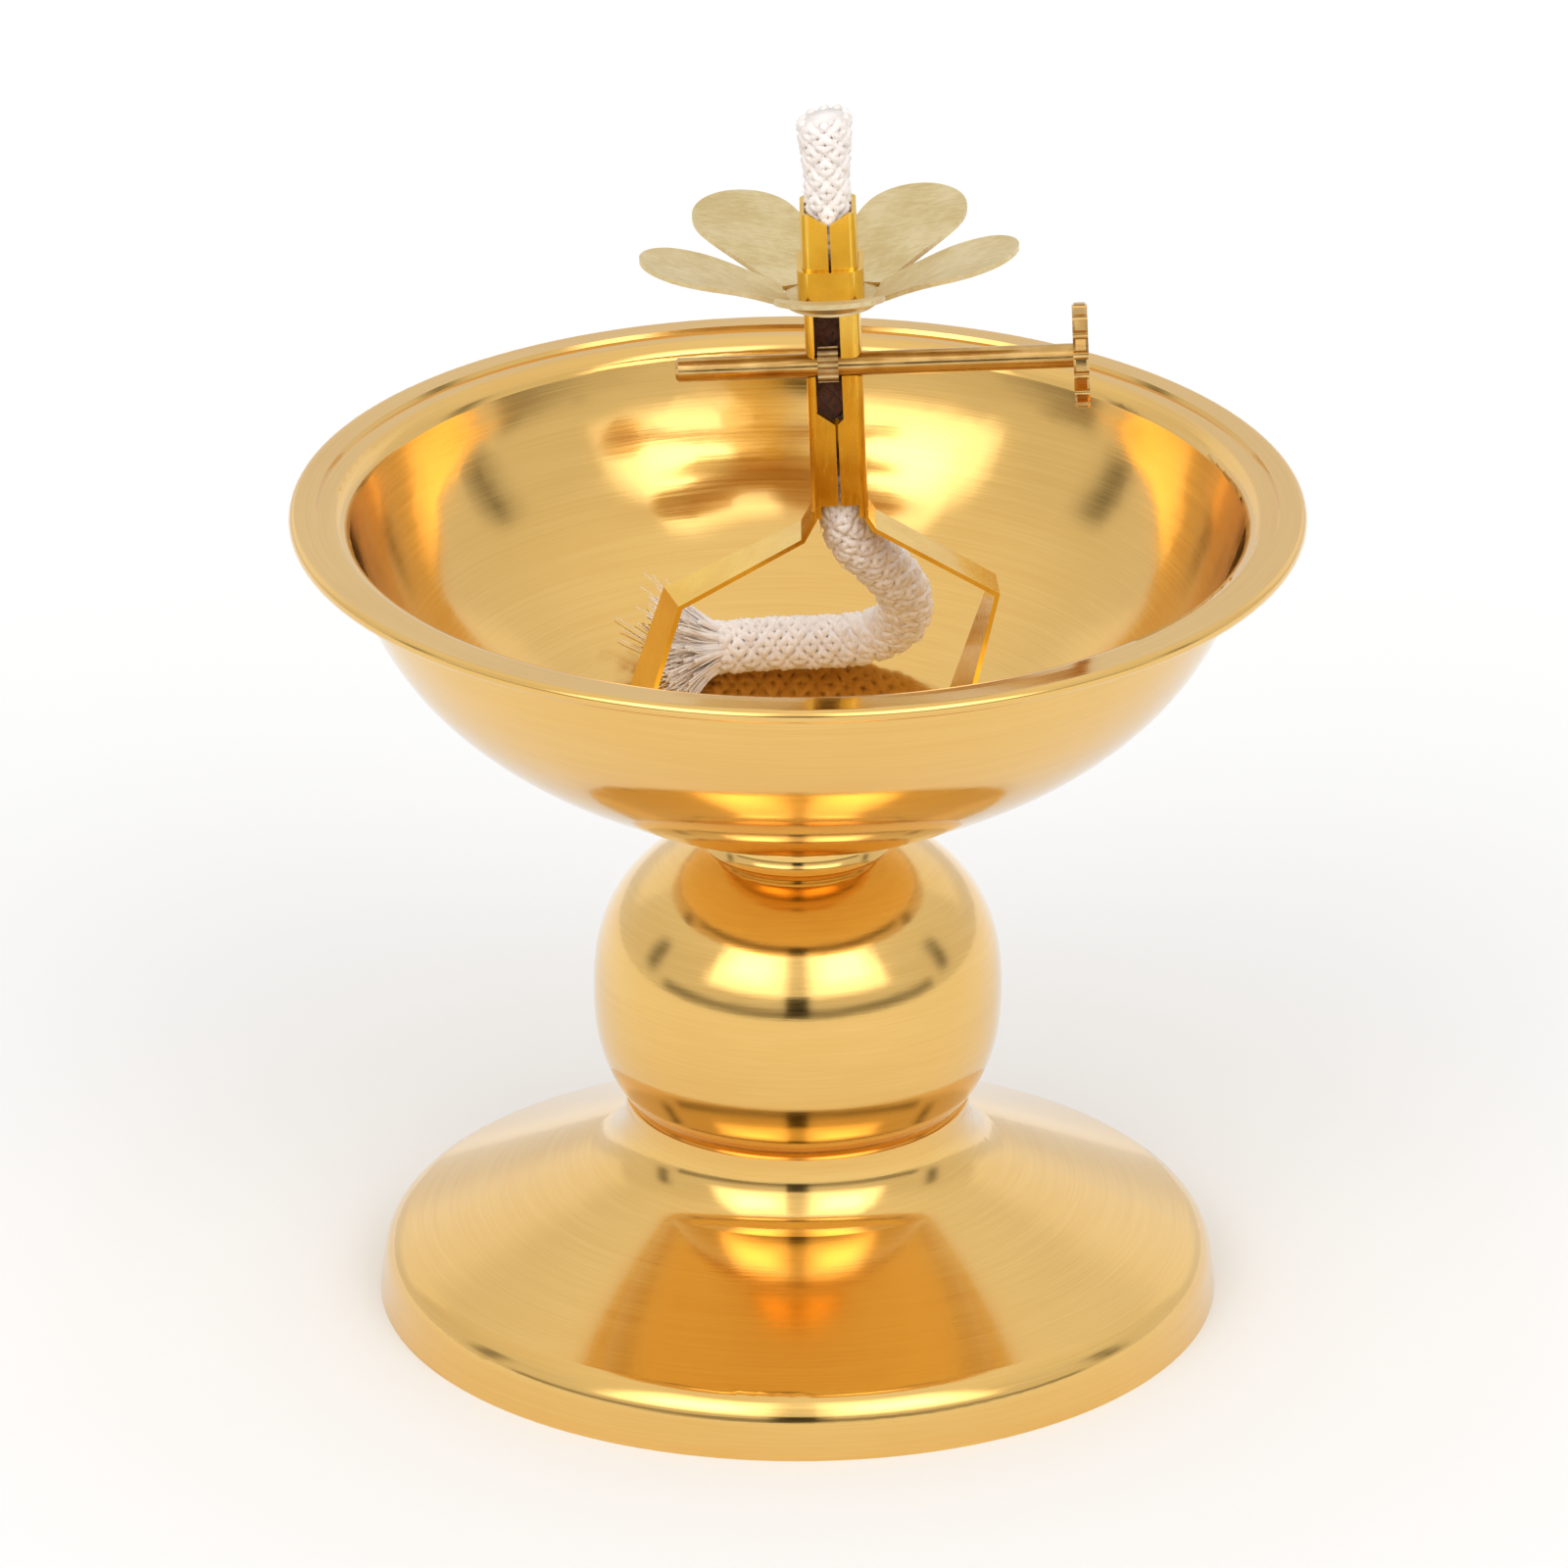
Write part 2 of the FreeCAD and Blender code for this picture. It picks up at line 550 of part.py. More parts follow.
def chamfered(solid, size):
    """The solid with its round end edges broken."""
    rims = [e for e in solid.Edges if isinstance(e.Curve, Part.Circle)]
    return solid.makeChamfer(size, rims)


def adjuster_shaft():
    """Shaft across the tube, from its free left end to the knob's outer face."""
    return placed(chamfered(across_rod(SHAFT_RADIUS, -SHAFT_LEFT, SHAFT_RIGHT), SHAFT_END_CHAMFER))


def adjuster_knob():
    """Notched disc on the shaft's right end."""
    left = SHAFT_RIGHT - KNOB_THICKNESS
    disc = chamfered(across_rod(KNOB_RADIUS, left, SHAFT_RIGHT), KNOB_CHAMFER)
    notches = round_notches(KNOB_RADIUS, KNOB_NOTCHES, KNOB_NOTCH_RADIUS, left - 1, SHAFT_RIGHT + 1)
    bore = across_rod(SHAFT_RADIUS + SLIP, left - 1, SHAFT_RIGHT + 1)
    return placed(disc.cut(notches + [bore]))


def feed_wheel():
    """Toothed wheel on the shaft, behind the window, that bites the wick."""
    left, right = WINDOW_OFFSET - WHEEL_WIDTH / 2, WINDOW_OFFSET + WHEEL_WIDTH / 2
    notches = round_notches(WHEEL_RADIUS, WHEEL_TEETH, WHEEL_TOOTH_DEPTH, left - 1, right + 1)
    bore = across_rod(SHAFT_RADIUS + SLIP, left - 1, right + 1)
    return placed(across_rod(WHEEL_RADIUS, left, right).cut(notches + [bore]))


# ---- wick -------------------------------------------------------------------------------------
def wick_feed():
    """Upper wick: flat behind the wheel, then round, and full size above the tube."""
    front = WHEEL_RADIUS - SHAFT_FORWARD + WICK_SIDE_GAP
    back = TUBE_BORE_DEPTH / 2 - WICK_SIDE_GAP
    flat_top = SHAFT_HEIGHT + WHEEL_RADIUS + WICK_TRAVEL + WICK_SIDE_GAP
    neck_top = TUBE_HEIGHT + WICK_TRAVEL + WICK_SIDE_GAP
    flat = Part.makeBox(2 * WICK_CORE_RADIUS, back - front, flat_top - WICK_BOTTOM,
                        Vector(-WICK_CORE_RADIUS, front, WICK_BOTTOM))
    round_parts = [rod(WICK_CORE_RADIUS, flat_top, neck_top), rod(WICK_RADIUS, neck_top, WICK_TOP)]
    return placed(flat.fuse(round_parts))


def wick_tail():
    """Free tail of the wick: straight runs joined by arcs as large as the runs allow."""
    route = [Vector(*place) for place in TAIL_ROUTE]
    edges, here = [], route[0]
    for before, corner, after in zip(route, route[1:], route[2:]):
        half_turn = (corner - before).getAngle(after - corner) / 2
        reach = 0.45 * min((corner - before).Length, (after - corner).Length)
        bend = reach / math.tan(half_turn)
        print(f"wick_tail bend at {tuple(corner)}: radius {bend:.1f}")
        start, middle, end = corner_arc(before, corner, after, bend)
        edges += [line(here, start), arc(start, middle, end)]
        here = end
    edges.append(line(here, route[-1]))
    spine = Part.Wire(edges)
    section = Part.Wire(Part.makeCircle(TAIL_RADIUS, route[0], route[1] - route[0]))
    tube = spine.makePipeShell([section], True, True)
    print(f"wick_tail length {spine.Length:.1f}, volume {tube.Volume:.0f}, "
          f"section times length {math.pi * TAIL_RADIUS ** 2 * spine.Length:.0f}")
    return tube


MODEL = [foot_shell, stem_ball, neck_collar, bowl, bowl_boss, tie_rod, clamp_washer, spring_washer,
         hex_nut, wick_holder_frame, petal_tray, tray_ferrule, adjuster_shaft, adjuster_knob,
         feed_wheel, wick_feed, wick_tail]

os.makedirs("parts", exist_ok=True)
for make in MODEL:
    make().exportStep(f"parts/{make.__name__}.step")
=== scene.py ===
"""Looks for a spun brass pedestal oil lamp: braided wick, brushed brass, studio light and camera.

Metres, +Z up, the lamp's axis at X = Y = 0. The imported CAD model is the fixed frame.
"""

import json
import math
import random

import bmesh
import bpy
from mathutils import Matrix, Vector


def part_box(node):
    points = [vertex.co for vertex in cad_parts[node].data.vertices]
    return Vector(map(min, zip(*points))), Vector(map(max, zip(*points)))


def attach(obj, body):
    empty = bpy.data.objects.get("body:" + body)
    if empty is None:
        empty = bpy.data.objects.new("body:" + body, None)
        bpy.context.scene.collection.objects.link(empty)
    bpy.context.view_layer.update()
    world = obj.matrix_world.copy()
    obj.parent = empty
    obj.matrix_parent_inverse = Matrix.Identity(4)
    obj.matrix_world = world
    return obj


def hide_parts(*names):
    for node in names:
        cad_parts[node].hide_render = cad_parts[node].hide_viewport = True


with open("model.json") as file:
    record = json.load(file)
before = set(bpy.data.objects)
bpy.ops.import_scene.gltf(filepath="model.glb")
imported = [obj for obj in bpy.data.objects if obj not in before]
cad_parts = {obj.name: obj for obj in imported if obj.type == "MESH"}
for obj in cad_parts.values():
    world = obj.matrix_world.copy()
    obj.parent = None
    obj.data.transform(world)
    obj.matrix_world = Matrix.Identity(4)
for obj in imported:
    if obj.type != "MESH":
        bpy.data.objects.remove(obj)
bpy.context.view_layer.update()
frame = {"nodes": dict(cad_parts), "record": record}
NODES = frame["nodes"]
JOINTS = {joint["name"]: joint for joint in frame["record"]["behaviour"]["joints"]}
MM = 0.001


# ---- camera -----------------------------------------------------------------------------------
CAMERA_DISTANCE = 2.0
CAMERA_TILT = math.radians(23.715)
CAMERA_AIM_HEIGHT = 0.0542
CAMERA_OFFSET = -0.00135
CAMERA_LENS = 508.5


def add_camera():
    """Long lens from the front, looking down at the bowl."""
    data = bpy.data.cameras.new("camera")
    data.sensor_width = 36
    data.lens = CAMERA_LENS
    data.clip_end = 20
    camera = bpy.data.objects.new("camera", data)
    rise = CAMERA_DISTANCE * math.tan(CAMERA_TILT)
    camera.location = (CAMERA_OFFSET, -CAMERA_DISTANCE, CAMERA_AIM_HEIGHT + rise)
    camera.rotation_euler = (math.pi / 2 - CAMERA_TILT, 0, 0)
    bpy.context.scene.collection.objects.link(camera)
    bpy.context.scene.camera = camera
    bpy.context.scene.view_settings.view_transform = "Standard"


# ---- node helpers -----------------------------------------------------------------------------
def add_node(tree, kind, inputs=None, **settings):
    """A new node with its settings, and values or links on its inputs."""
    node = tree.nodes.new(kind)
    for key, value in settings.items():
        setattr(node, key, value)
    for key, value in (inputs or {}).items():
        if isinstance(value, bpy.types.NodeSocket):
            tree.links.new(value, node.inputs[key])
        else:
            node.inputs[key].default_value = value
    return node


def maths(tree, operation, first, second=0.0):
    """Result of a sum on two numbers."""
    return add_node(tree, "ShaderNodeMath", {0: first, 1: second}, operation=operation).outputs[0]


def ramp(tree, value, low, high, start=0.0, end=1.0):
    """A smooth step from start to end while the value goes from low to high."""
    inputs = {"Value": value, "From Min": low, "From Max": high, "To Min": start, "To Max": end}
    return add_node(tree, "ShaderNodeMapRange", inputs, interpolation_type="SMOOTHSTEP").outputs[0]


def band(tree, value, low, high, soft):
    """1 between low and high, and 0 outside them, with soft edges."""
    inside_low = ramp(tree, value, low - soft, low + soft)
    inside_high = ramp(tree, value, high - soft, high + soft, 1.0, 0.0)
    return maths(tree, "MULTIPLY", inside_low, inside_high)


def noise(tree, vector, scale, detail=3.0, rough=0.5):
    """Noise from 0 to 1."""
    inputs = {"Vector": vector, "Scale": scale, "Detail": detail, "Roughness": rough}
    return add_node(tree, "ShaderNodeTexNoise", inputs).outputs["Fac"]


def blend(tree, first, first_share, second, second_share):
    """Sum of two numbers, each times its share."""
    first_part = maths(tree, "MULTIPLY", first, first_share)
    second_part = maths(tree, "MULTIPLY", second, second_share)
    return maths(tree, "ADD", first_part, second_part)


def mixed(tree, share, first, second):
    """A blend of two colours."""
    node = add_node(tree, "ShaderNodeMix", data_type="RGBA")
    share_socket, first_socket, second_socket = node.inputs[0], node.inputs[6], node.inputs[7]
    pairs = [(share_socket, share), (first_socket, first), (second_socket, second)]
    for socket, value in pairs:
        if isinstance(value, bpy.types.NodeSocket):
            tree.links.new(value, socket)
        else:
            socket.default_value = value
    return node.outputs[2]


# ---- studio -----------------------------------------------------------------------------------
FLOOR_HALF = 3.0
TENT_LIGHT = 0.82
TENT_TOP_LIGHT = 0.98
SOFTBOX_LIGHT = 2.0
SOFTBOX_CORE_LIGHT = 3.6
BACK_SOFTBOX_LIGHT = 1.0
SOFT_GAP_LIGHT = 0.2
HORIZON_LIGHT = 0.3
DARK_GAP_LIGHT = 0.03


def add_floor():
    """Plain pale floor."""
    mesh = bmesh.new()
    corners = [(-1, -1), (1, -1), (1, 1), (-1, 1)]
    mesh.faces.new([mesh.verts.new((x * FLOOR_HALF, y * FLOOR_HALF, 0)) for x, y in corners])
    data = bpy.data.meshes.new("floor")
    mesh.to_mesh(data)
    mesh.free()
    floor = bpy.data.objects.new("floor", data)
    bpy.context.scene.collection.objects.link(floor)
    material = bpy.data.materials.new("floor_paper")
    material.use_nodes = True
    shader = material.node_tree.nodes["Principled BSDF"]
    shader.inputs["Base Color"].default_value = (0.85, 0.86, 0.87, 1)
    shader.inputs["Roughness"].default_value = 0.9
    data.materials.append(material)


def add_tent():
    """White light tent with softboxes, a dim strip above the floor and a dark opening for the camera."""
    world = bpy.data.worlds.new("tent")
    world.use_nodes = True
    bpy.context.scene.world = world
    tree = world.node_tree
    toward = add_node(tree, "ShaderNodeTexCoord").outputs["Generated"]
    parts = add_node(tree, "ShaderNodeSeparateXYZ", {0: toward}).outputs
    height = maths(tree, "ARCSINE", parts["Z"])
    forward = maths(tree, "MULTIPLY", parts["Y"], -1.0)
    bearing = maths(tree, "ARCTAN2", parts["X"], forward)
    aside = maths(tree, "ABSOLUTE", bearing)

    def patch(value, near, far, low, high, soft):
        """1 over a patch of the tent, given by two bearings and two heights in degrees."""
        across = band(tree, value, math.radians(near), math.radians(far), math.radians(soft))
        upright = band(tree, height, math.radians(low), math.radians(high), math.radians(soft))
        return maths(tree, "MULTIPLY", across, upright)

    light = ramp(tree, height, 0.3, 1.3, TENT_LIGHT, TENT_TOP_LIGHT)
    for share, level in [
        (patch(aside, 7, 56, 17, 62, 4), SOFTBOX_LIGHT),
        (patch(aside, 16, 46, 26, 50, 9), SOFTBOX_CORE_LIGHT),
        (patch(aside, 132, 168, 12, 34, 5), BACK_SOFTBOX_LIGHT),
        (patch(aside, -82, 82, 1, 7, 3), HORIZON_LIGHT),
        (patch(bearing, -7, 7, 1, 17, 1.2), DARK_GAP_LIGHT),
        (patch(aside, 90, 98, 6, 26, 5), SOFT_GAP_LIGHT),
    ]:
        gap = maths(tree, "SUBTRACT", level, light)
        light = maths(tree, "ADD", light, maths(tree, "MULTIPLY", gap, share))
    glow = tree.nodes["Background"]
    glow.inputs["Color"].default_value = (1.0, 0.99, 0.975, 1)
    tree.links.new(light, glow.inputs["Strength"])


# ---- brass and steel --------------------------------------------------------------------------
LACQUER_ROUGHNESS = 0.06


def new_metal(name, base, roughness, anisotropy=0.0, lacquer=0.0):
    """A metal with a share of clear lacquer over it, as (material, tree, shader)."""
    material = bpy.data.materials.new(name)
    material.use_nodes = True
    tree = material.node_tree
    shader = tree.nodes["Principled BSDF"]
    shader.inputs["Base Color"].default_value = (*base, 1)
    shader.inputs["Metallic"].default_value = 1.0
    shader.inputs["Roughness"].default_value = roughness
    shader.inputs["Anisotropic"].default_value = anisotropy
    shader.inputs["Coat Weight"].default_value = lacquer
    shader.inputs["Coat Roughness"].default_value = LACQUER_ROUGHNESS
    return material, tree, shader


def shades(tree, shader, share, dark, light):
    """Base colour between two shades."""
    colour = mixed(tree, share, (*dark, 1), (*light, 1))
    tree.links.new(colour, shader.inputs["Base Color"])


def relief(tree, shader, height, depth):
    """Fine bumps from a height of 0 to 1."""
    bump = add_node(tree, "ShaderNodeBump", {"Height": height, "Distance": depth, "Strength": 1.0})
    tree.links.new(bump.outputs["Normal"], shader.inputs["Normal"])


def spun_brass():
    """Lacquered spun brass with fine rings from the lathe round the lamp's axis."""
    material, tree, shader = new_metal("spun_brass", (0.82, 0.51, 0.145), 0.14, 0.5, 0.6)
    place = add_node(tree, "ShaderNodeTexCoord").outputs["Object"]
    parts = add_node(tree, "ShaderNodeSeparateXYZ", {0: place}).outputs
    flat = add_node(tree, "ShaderNodeCombineXYZ", {"X": parts["X"], "Y": parts["Y"]}).outputs[0]
    radius = add_node(tree, "ShaderNodeVectorMath", {0: flat}, operation="LENGTH").outputs["Value"]
    around = add_node(tree, "ShaderNodeVectorMath", {0: flat}, operation="NORMALIZE").outputs[0]
    turn = add_node(tree, "ShaderNodeSeparateXYZ", {0: around}).outputs

    def rings(spacing, drift):
        """Noise drawn out round the axis, with rings a spacing apart that fade along the way."""
        shift_x = maths(tree, "MULTIPLY", turn["X"], drift)
        shift_y = maths(tree, "MULTIPLY", turn["Y"], drift)
        outward = maths(tree, "ADD", maths(tree, "DIVIDE", radius, spacing), shift_x)
        upward = maths(tree, "ADD", maths(tree, "DIVIDE", parts["Z"], spacing), shift_y)
        vector = add_node(tree, "ShaderNodeCombineXYZ", {"X": outward, "Y": upward, "Z": shift_x})
        return noise(tree, vector.outputs[0], 1.0, 2.0)

    fine, coarse = rings(0.22 * MM, 2.5), rings(1.1 * MM, 1.2)
    cloud = noise(tree, place, 38.0, 4.0)
    lines = blend(tree, fine, 0.65, coarse, 0.35)
    wear = blend(tree, lines, 0.6, cloud, 0.4)
    shades(tree, shader, ramp(tree, wear, 0.3, 0.7), (0.79, 0.475, 0.125), (0.85, 0.545, 0.165))
    tree.links.new(ramp(tree, wear, 0.25, 0.75, 0.08, 0.17), shader.inputs["Roughness"])
    relief(tree, shader, lines, 0.004 * MM)
    tangent = add_node(tree, "ShaderNodeTangent", direction_type="RADIAL", axis="Z").outputs[0]
    tree.links.new(tangent, shader.inputs["Tangent"])
    return material


def sheet_brass():
    """Rolled brass strip, polished, with faint scratches along the folds."""
    material, tree, shader = new_metal("sheet_brass", (0.84, 0.52, 0.06), 0.2, 0.0, 0.5)
    place = add_node(tree, "ShaderNodeTexCoord").outputs["Object"]
    drawn = add_node(tree, "ShaderNodeMapping", {"Vector": place, "Scale": (2600, 2600, 260)}).outputs[0]
    scratches = noise(tree, drawn, 1.0, 3.0, 0.6)
    cloud = noise(tree, place, 220.0, 3.0)
    shades(tree, shader, ramp(tree, cloud, 0.3, 0.7), (0.80, 0.47, 0.045), (0.88, 0.57, 0.08))
    tree.links.new(ramp(tree, scratches, 0.3, 0.75, 0.14, 0.3), shader.inputs["Roughness"])
    relief(tree, shader, scratches, 0.003 * MM)
    return material


def petal_brass():
    """Pale matt brass with a dull film and fine scratches."""
    material, tree, shader = new_metal("petal_brass", (0.74, 0.60, 0.32), 0.42)
    place = add_node(tree, "ShaderNodeTexCoord").outputs["Object"]
    drawn = add_node(tree, "ShaderNodeMapping", {"Vector": place, "Scale": (700, 2200, 900)}).outputs[0]
    scratches = noise(tree, drawn, 1.0, 4.0, 0.65)
    cloud = noise(tree, place, 160.0, 5.0, 0.6)
    film = blend(tree, scratches, 0.4, cloud, 0.6)
    shades(tree, shader, ramp(tree, film, 0.35, 0.65), (0.66, 0.51, 0.24), (0.80, 0.67, 0.40))
    tree.links.new(ramp(tree, film, 0.3, 0.7, 0.5, 0.36), shader.inputs["Roughness"])
    relief(tree, shader, film, 0.01 * MM)
    return material


def rod_brass():
    """Drawn brass rod, slightly browned, with lines along its length."""
    material, tree, shader = new_metal("rod_brass", (0.66, 0.42, 0.15), 0.2)
    place = add_node(tree, "ShaderNodeTexCoord").outputs["Object"]
    drawn = add_node(tree, "ShaderNodeMapping", {"Vector": place, "Scale": (180, 5200, 5200)}).outputs[0]
    lines = noise(tree, drawn, 1.0, 3.0, 0.6)
    cloud = noise(tree, place, 300.0, 3.0)
    shades(tree, shader, ramp(tree, cloud, 0.3, 0.7), (0.56, 0.33, 0.105), (0.74, 0.49, 0.19))
    tree.links.new(ramp(tree, lines, 0.3, 0.7, 0.14, 0.28), shader.inputs["Roughness"])
    relief(tree, shader, lines, 0.004 * MM)
    return material


def raw_brass():
    """Machined brass that was never polished, with dull blotches."""
    material, tree, shader = new_metal("raw_brass", (0.58, 0.41, 0.19), 0.4)
    place = add_node(tree, "ShaderNodeTexCoord").outputs["Object"]
    cloud = noise(tree, place, 420.0, 5.0, 0.6)
    shades(tree, shader, ramp(tree, cloud, 0.3, 0.7), (0.42, 0.27, 0.11), (0.66, 0.48, 0.24))
    tree.links.new(ramp(tree, cloud, 0.3, 0.7, 0.5, 0.3), shader.inputs["Roughness"])
    relief(tree, shader, cloud, 0.01 * MM)
    return material


def plated_steel():
    """Zinc plated steel with a cloudy grey film."""
    material, tree, shader = new_metal("plated_steel", (0.62, 0.62, 0.61), 0.32)
    place = add_node(tree, "ShaderNodeTexCoord").outputs["Object"]
    cloud = noise(tree, place, 350.0, 5.0, 0.65)
    shades(tree, shader, ramp(tree, cloud, 0.3, 0.7), (0.50, 0.50, 0.50), (0.70, 0.70, 0.67))
    tree.links.new(ramp(tree, cloud, 0.3, 0.7, 0.42, 0.26), shader.inputs["Roughness"])
    relief(tree, shader, cloud, 0.008 * MM)
    return material


# heights in metres of the painted shade on the wick inside the tube
TUBE_SHADE_FROM = 0.0885
TUBE_SHADE_TO = 0.1112


def wick_cotton():
    """Undyed off-white cotton yarn: fine fibres, slightly uneven in tone, with a pinkish cast that is
    painted reflected light from the brass, and painted dark red-brown shade over the length inside the
    tube.
    """
    material = bpy.data.materials.new("wick_cotton")
    material.use_nodes = True
    tree = material.node_tree
    shader = tree.nodes["Principled BSDF"]
    shader.inputs["Roughness"].default_value = 0.85
    shader.inputs["Sheen Weight"].default_value = 0.35
    shader.inputs["Sheen Roughness"].default_value = 0.5
    place = add_node(tree, "ShaderNodeTexCoord").outputs["Object"]
    fibres = noise(tree, place, 9000.0, 3.0, 0.7)
    cloud = noise(tree, place, 600.0, 3.0)
    tone = blend(tree, fibres, 0.55, cloud, 0.45)
    # off-white cotton tone, with a pinkish cast that is painted reflected light from the brass
    cotton_and_bounce_tint = mixed(tree, ramp(tree, tone, 0.3, 0.65), (0.80, 0.72, 0.68, 1), (0.93, 0.885, 0.86, 1))
    high = add_node(tree, "ShaderNodeSeparateXYZ", {0: place}).outputs["Z"]
    # painted shade: dark red-brown over the wick inside the tube, standing in for the shadow and brass
    # reflection there
    tube_shade = band(tree, high, TUBE_SHADE_FROM, TUBE_SHADE_TO, 0.5 * MM)
    tube_shade_colour = mixed(tree, tone, (0.09, 0.028, 0.012, 1), (0.23, 0.085, 0.035, 1))
    tree.links.new(mixed(tree, tube_shade, cotton_and_bounce_tint, tube_shade_colour), shader.inputs["Base Color"])
    relief(tree, shader, fibres, 0.03 * MM)
    return material


def finish_nodes(materials):
    """Gives each CAD node the material of its slot in the record."""
    for subpart in frame["record"]["subparts"]:
        for target in NODES[subpart["node"]].material_slots:
            target.material = materials[subpart["material_slot"]]


# ---- mesh helpers -----------------------------------------------------------------------------
def smooth_line(points):
    """Points along the NURBS spline that has the given control points."""
    curve = bpy.data.curves.new("route", "CURVE")
    curve.dimensions = "3D"
    curve.resolution_u = 24
    spline = curve.splines.new("NURBS")
    spline.points.add(len(points) - 1)
    for target, place in zip(spline.points, points):
        target.co = (*place, 1)
    spline.order_u = 3
    spline.use_endpoint_u = True
    holder = bpy.data.objects.new("route", curve)
    bpy.context.scene.collection.objects.link(holder)
    mesh = bpy.data.meshes.new_from_object(holder)
    line = [v.co.copy() for v in mesh.vertices]
    bpy.data.objects.remove(holder)
    bpy.data.curves.remove(curve)
    bpy.data.meshes.remove(mesh)
    return line


def even_line(line, step):
    """The line's points moved to even spacing."""
    spans = [(b - a).length for a, b in zip(line, line[1:])]
    total = sum(spans)
    count = max(2, round(total / step))
    out, index, passed = [], 0, 0.0
    for k in range(count + 1):
        want = total * k / count
        while index < len(spans) - 1 and passed + spans[index] < want:
            passed += spans[index]
            index += 1
        share = (want - passed) / spans[index]
        out.append(line[index].lerp(line[index + 1], min(share, 1)))
    return out


def carried_frames(line, first_side):
    """A side and an up direction at each point, turned as little as possible along the line."""
    frames, side = [], first_side
    for k in range(len(line)):
        along = (line[min(k + 1, len(line) - 1)] - line[max(k - 1, 0)]).normalized()
        side = (side - along * side.dot(along)).normalized()
        frames.append((along, side, along.cross(side)))
    return frames


def add_tube(mesh, centres, radii, sides):
    """A closed tube through the centres with a radius at each."""
    frames = carried_frames(centres, Vector((0.31, 0.72, 0.62)))
    rings = []
    for (along, side, up), centre, radius in zip(frames, centres, radii):
        ring = []
        for k in range(sides):
            turn = 2 * math.pi * k / sides
            ring.append(mesh.verts.new(centre + (side * math.cos(turn) + up * math.sin(turn)) * radius))
        rings.append(ring)
    for ring, after in zip(rings, rings[1:]):
        for k in range(sides):
            nxt = (k + 1) % sides
            mesh.faces.new((ring[k], ring[nxt], after[nxt], after[k]))
    mesh.faces.new(rings[0][::-1])
    mesh.faces.new(rings[-1])


def finish_mesh(name, mesh):
    """Turns a bmesh into a shown object."""
    data = bpy.data.meshes.new(name)
    mesh.to_mesh(data)
    mesh.free()
    for polygon in data.polygons:
        polygon.use_smooth = True
    piece = bpy.data.objects.new(name, data)
    bpy.context.scene.collection.objects.link(piece)
    return piece


# ---- wick -------------------------------------------------------------------------------------
# middle line of the wick's free tail, from inside the tube to its end on the bowl's floor, in mm
TAIL_ROUTE = [
    (4.0, 0.0, 88.2),
    (4.1, 0.2, 84.4),
    (4.9, 1.8, 80.4),
    (7.4, 5.0, 76.5),
    (10.2, 9.2, 71.9),
    (10.9, 13.3, 67.6),
    (9.9, 17.0, 63.8),
    (6.5, 19.6, 61.3),
    (1.8, 20.5, 60.6),
    (-3.2, 20.5, 60.5),
    (-8.0, 19.5, 60.4),
]
TAIL_EXIT = Vector((4.1, 0.2, 84.4)) * MM
TAIL_RADIUS = 2.6 * MM
BRAID_CARRIERS = 10
BRAID_LAY = 13 * MM
YARN_RADIUS = 0.42 * MM
BRAID_STEP = 0.3 * MM
FIBRE_RADIUS = 0.022 * MM
BORE_HALF = 2.2 * MM
FLAT_HALF = 1.2 * MM
FLAT_SHIFT = 1.1 * MM
FEED_RADIUS = 2.62 * MM
TUBE_FOOT_BELOW_SHAFT = 16.2 * MM
FEED_BOTTOM = 9.6 * MM
FLAT_TOP = 22.0 * MM
TUBE_MOUTH = 32.3 * MM
FREE_ABOVE_MOUTH = 3.6 * MM
CUT_SLANT = 0.14
TAIL_IN_TUBE_RADIUS = 2.1 * MM
# the bowl's inner surface near its middle: flat out to a radius in mm, then rising along a curve
FLOOR_FLAT_RADIUS = 9.6
FLOOR_HEIGHT = 52.9
FLOOR_SLOPE = 0.22
FLOOR_CURVE = 0.012


def braid(name, line, first_side, widths, depths, shifts, seed):
    """Round braid of yarns over a core, along a line, with a width, depth and shift at each point."""
    draw = random.Random(seed)
    frames = carried_frames(line, first_side)
    travelled = [0.0]
    for a, b in zip(line, line[1:]):
        travelled.append(travelled[-1] + (b - a).length)

    def surface(k, turn, height):
        """Point on the braid at a turn round the line and a height over its outside."""
        along, side, up = frames[k]
        across = side * (math.cos(turn) * (widths[k] + height))
        return line[k] + across + up * (math.sin(turn) * (depths[k] + height) + shifts[k])

    mesh = bmesh.new()
    add_core(mesh, surface, len(line))
    for way in (-1, 1):
        for carrier in range(BRAID_CARRIERS):
            start = 2 * math.pi * carrier / BRAID_CARRIERS
            thick = YARN_RADIUS * draw.uniform(0.9, 1.08)
            wander = draw.uniform(0, 2 * math.pi)
            centres = []
            for k, distance in enumerate(travelled):
                turn = start + way * 2 * math.pi * distance / BRAID_LAY
                weave = math.sin(BRAID_CARRIERS * 2 * math.pi * distance / BRAID_LAY + carrier * math.pi)
                loose = 0.05 * math.sin(distance * 900 + wander)
                centres.append(surface(k, turn, YARN_RADIUS * (way * 0.42 * weave + loose - 0.95)))
            add_tube(mesh, centres, [thick] * len(centres), 7)
    for _ in range(round(travelled[-1] / (0.16 * MM))):
        add_fibre(mesh, surface, draw, draw.randrange(1, len(line) - 1))
    return finish_mesh(name, mesh)


def add_core(mesh, surface, count, sides=20):
    """Closed core that fills a braid, so that nothing shows through its yarns."""
    rings = []
    for k in range(count):
        turns = [2 * math.pi * j / sides for j in range(sides)]
        rings.append([mesh.verts.new(surface(k, t, -1.45 * YARN_RADIUS)) for t in turns])
    for ring, after in zip(rings, rings[1:]):
        for j in range(sides):
            nxt = (j + 1) % sides
            mesh.faces.new((ring[j], ring[nxt], after[nxt], after[j]))
    mesh.faces.new(rings[0][::-1])
    mesh.faces.new(rings[-1])


